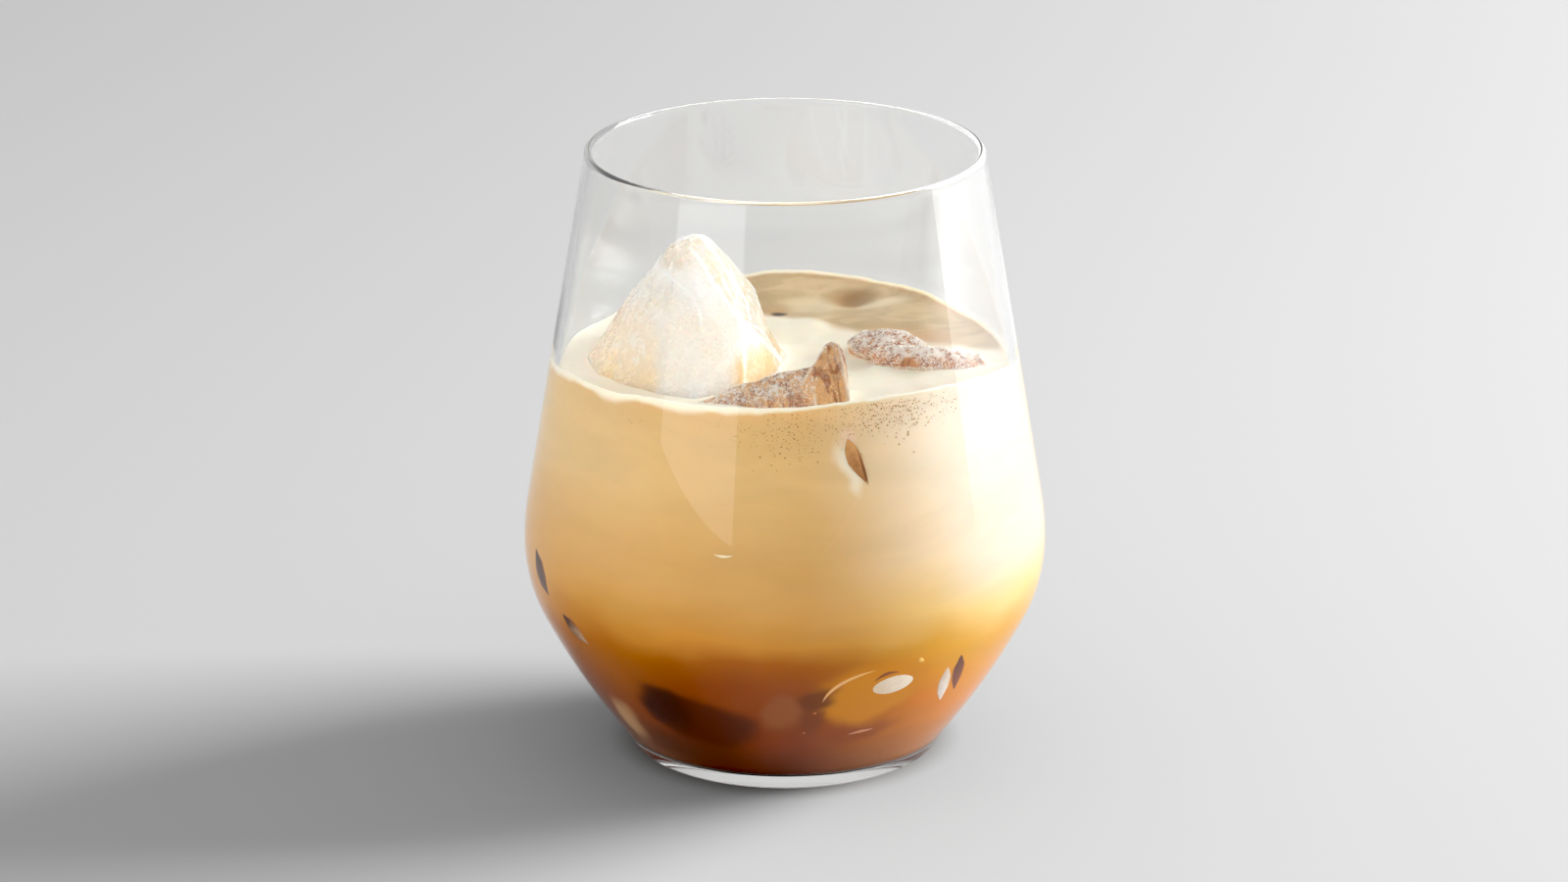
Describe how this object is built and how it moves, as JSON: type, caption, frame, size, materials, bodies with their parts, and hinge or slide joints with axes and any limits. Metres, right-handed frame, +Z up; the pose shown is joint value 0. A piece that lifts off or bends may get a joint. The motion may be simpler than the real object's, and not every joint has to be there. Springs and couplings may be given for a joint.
{
  "type": "glass of freddo espresso",
  "caption": "Stemless round tumbler with a rounded base and tapering wall, filled with dark coffee under a deep pale froth, with chipped ice standing out of it.",
  "frame": {"origin": "centre of the tumbler's foot, on the surface it stands on", "axes": "+Z up along the tumbler's axis; the picture looks along +Y from the -Y side; +X is to the right in the picture"},
  "size_m": [0.088, 0.088, 0.1036],
  "materials": {
    "glass": "clear polished glass",
    "coffee": "dark red-brown coffee, seen through glass",
    "froth": "pale tan coffee froth, satin, with fine bubbles",
    "ice": "wet ice, clear with frosted and cloudy patches"
  },
  "bodies": {
    "root": {"glass": "glass", "coffee": "coffee", "froth": "froth", "ice_large": "ice", "ice_front": "ice", "ice_right": "ice"}
  },
  "joints": []
}
